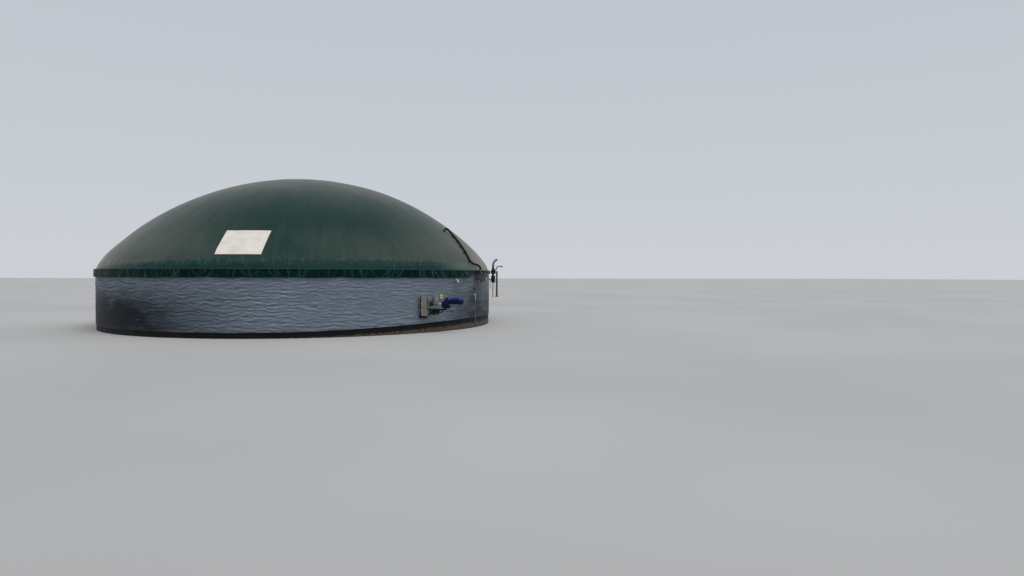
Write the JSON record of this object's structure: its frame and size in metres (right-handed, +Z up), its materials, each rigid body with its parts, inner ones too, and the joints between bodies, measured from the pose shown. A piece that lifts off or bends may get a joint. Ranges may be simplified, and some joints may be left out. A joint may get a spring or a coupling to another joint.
{
  "type": "biogas digester",
  "caption": "Round insulated concrete tank under an air-held membrane dome, with an edge skirt, side mixer, blower with air hose, and pressure relief valve.",
  "frame": {"origin": "on the tank's upright axis at ground level, in the flat underside of the floor slab", "axes": "+Z up; -Y towards the side with the blank white sign; +X towards the side with the relief valve, to the right when seen from -Y"},
  "size_m": [27.884, 26.95, 10.3992],
  "materials": {
    "concrete": "rough cast",
    "bitumen": "matt black coating",
    "cladding": "rippled grey-blue coating over foam",
    "galvanized": "weathered zinc",
    "membrane": "coated membrane, dusty",
    "skirt": "coated membrane, wrinkled",
    "sign_white": "coated membrane, satin",
    "hose_rubber": "matt",
    "grey_paint": "weathered paint",
    "dark_paint": "weathered paint",
    "blue_paint": "semi-gloss",
    "stainless": "brushed",
    "yellow_paint": "semi-gloss",
    "port_glass": "dark glass",
    "box_plastic": "moulded",
    "white_pipe": "moulded, dusty",
    "rusty_pipe": "rusted"
  },
  "bodies": {
    "root": {"floor_slab": "concrete", "base_strip": "bitumen", "wall_section_1": "concrete", "wall_section_2": "concrete", "wall_section_3": "concrete", "wall_section_4": "concrete", "wall_section_5": "concrete", "wall_section_6": "concrete", "cladding_section_1": "cladding", "cladding_section_2": "cladding", "cladding_section_3": "cladding", "cladding_section_4": "cladding", "cladding_section_5": "cladding", "cladding_section_6": "cladding", "joint_cover": "galvanized", "rim_ring": "galvanized", "clamp_rail": "membrane", "edge_skirt": "skirt", "outer_membrane": "membrane", "dome_sign": "sign_white", "mixer_box": "grey_paint", "mixer_box_cover": "grey_paint", "mixer_flange": "grey_paint", "mixer_spigot": "dark_paint", "seal_housing": "dark_paint", "shaft_sleeve": "rusty_pipe", "shaft_tube": "stainless", "gearbox": "blue_paint", "motor_bell": "blue_paint", "motor_body": "blue_paint", "motor_cowl": "blue_paint", "terminal_box": "blue_paint", "jack_post": "dark_paint", "support_arm": "dark_paint", "motor_cable": "hose_rubber", "sight_port_ring": "yellow_paint", "sight_port_glass": "port_glass", "switch_box": "box_plastic", "overflow_elbow": "white_pipe", "level_probe": "dark_paint", "sampling_valve": "white_pipe", "cable_clip": "dark_paint", "blower_console": "galvanized", "blower_housing": "dark_paint", "blower_motor": "dark_paint", "intake_filter_1": "dark_paint", "intake_filter_2": "dark_paint", "hose_inlet": "hose_rubber", "air_hose": "hose_rubber", "relief_bracket": "galvanized", "seal_pot": "dark_paint", "relief_valve": "dark_paint", "vent_gooseneck": "dark_paint", "gas_downpipe": "rusty_pipe", "downpipe_flange": "rusty_pipe", "crossover_stub": "dark_paint", "drain_pipe": "white_pipe", "level_pipe": "white_pipe"}
  },
  "joints": []
}
